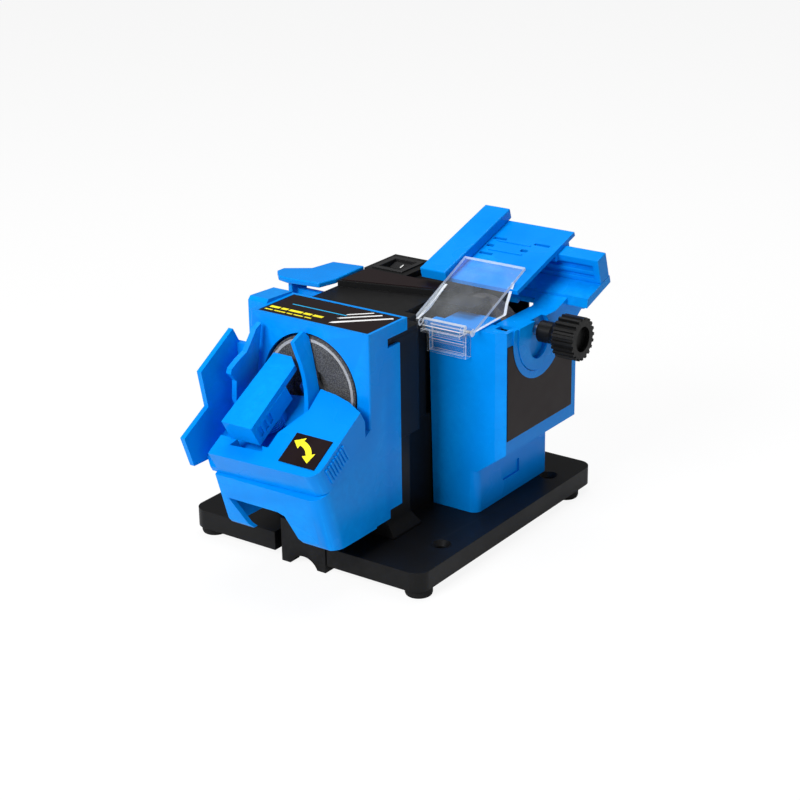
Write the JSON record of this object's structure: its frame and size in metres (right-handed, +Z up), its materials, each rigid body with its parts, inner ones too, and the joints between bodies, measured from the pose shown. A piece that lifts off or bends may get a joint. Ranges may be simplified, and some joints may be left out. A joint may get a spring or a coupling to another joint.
{
  "type": "drill bit sharpener",
  "caption": "Bench sharpener with a swinging drill jig on a front wheel and a tilting slide table over a second wheel.",
  "frame": {"origin": "on the bench, below the motor shaft, between the bench screws", "axes": "+X to the right side with the clamp knob, +Y to the rear along the motor shaft, +Z up"},
  "size_m": [0.183, 0.2241, 0.1638],
  "materials": {
    "blue_plastic": "plain",
    "black_plastic": "plain",
    "label_film": "plain",
    "black_rubber": "plain",
    "dark_grey_plastic": "plain",
    "steel": "plain",
    "core_steel": "plain",
    "copper": "plain",
    "grey_abrasive": "plain",
    "white_abrasive": "plain",
    "clear_plastic": "plain"
  },
  "bodies": {
    "base": {"base_plate": "black_plastic", "rubber_feet": "black_rubber", "front_bracket": "black_plastic", "motor_pillar": "black_plastic", "motor_shell": "black_plastic", "motor_cover": "black_plastic", "rating_plate": "label_film", "switch_bezel": "black_plastic", "stator": "steel", "field_coils": "copper", "brushes": "dark_grey_plastic", "front_bearing": "steel", "rear_bearing": "steel", "drive_belt": "black_rubber", "drill_housing": "blue_plastic", "drill_label": "label_film", "jig_pivot": "steel", "side_rest": "blue_plastic", "chisel_housing": "blue_plastic", "chisel_label": "label_film", "spindle_frame": "dark_grey_plastic", "spindle_bearings": "steel", "clamp_stud": "steel", "guard_clip": "clear_plastic", "base_screws": "steel"},
    "motor": {"rotor_shaft": "steel", "armature": "core_steel", "commutator": "copper", "cooling_fan": "dark_grey_plastic", "motor_pulley": "steel", "drill_wheel": "grey_abrasive", "drill_wheel_flange": "steel", "drill_wheel_nut": "steel"},
    "spindle": {"chisel_spindle": "steel", "spindle_pulley": "steel", "chisel_wheel": "white_abrasive", "chisel_wheel_nut": "steel"},
    "jig": {"drill_jig": "blue_plastic", "jig_guide": "blue_plastic", "arrow_label": "label_film"},
    "bar": {"clamp_bar": "blue_plastic"},
    "adjuster": {"clamp_screw": "blue_plastic"},
    "table": {"table_yoke": "blue_plastic", "slide_rail": "blue_plastic"},
    "carriage": {"carriage": "blue_plastic", "fence_bar": "blue_plastic"},
    "knob": {"clamp_knob": "black_plastic"},
    "guard": {"guard": "clear_plastic"},
    "rocker": {"switch_rocker": "dark_grey_plastic"}
  },
  "joints": [
    {"name": "motor_spin", "type": "hinge", "parent": "base", "child": "motor", "pos_m": [0, -0.02, 0.1005], "axis": [0, 1, 0], "continuous": true},
    {"name": "spindle_spin", "type": "hinge", "parent": "base", "child": "spindle", "pos_m": [0.038, 0.03, 0.1045], "axis": [0, 1, 0], "continuous": true},
    {"name": "jig_swing", "type": "hinge", "parent": "base", "child": "jig", "pos_m": [0, -0.09472, 0.07576], "axis": [0, -0.515, 0.8572], "range_deg": [-9, 9]},
    {"name": "clamp_slide", "type": "slide", "parent": "jig", "child": "bar", "axis": [0, -0.515, 0.8572], "range_m": [0, 0.006]},
    {"name": "adjuster_turn", "type": "hinge", "parent": "jig", "child": "adjuster", "pos_m": [-0.01225, -0.09953, 0.09154], "axis": [0, -0.515, 0.8572], "range_deg": [0, 2160]},
    {"name": "table_tilt", "type": "hinge", "parent": "base", "child": "table", "pos_m": [0.075, 0.028, 0.117], "axis": [1, 0, 0], "range_deg": [-8, 4]},
    {"name": "carriage_slide", "type": "slide", "parent": "table", "child": "carriage", "axis": [1, 0, 0], "range_m": [-0.022, 0]},
    {"name": "knob_turn", "type": "hinge", "parent": "base", "child": "knob", "pos_m": [0.09, 0.028, 0.117], "axis": [1, 0, 0], "range_deg": [0, 360]},
    {"name": "guard_lift", "type": "hinge", "parent": "base", "child": "guard", "pos_m": [0.04, -0.0145, 0.125], "axis": [1, 0, 0], "range_deg": [0, 75]},
    {"name": "switch_rock", "type": "hinge", "parent": "base", "child": "rocker", "pos_m": [-0.025, 0.039, 0.13], "axis": [1, 0, 0], "range_deg": [0, 14]}
  ],
  "couplings": [
    {"joint": "spindle_spin", "follows": "motor_spin", "ratio": 0.65},
    {"joint": "adjuster_turn", "follows": "clamp_slide", "rad_per_m": 6283.2}
  ]
}
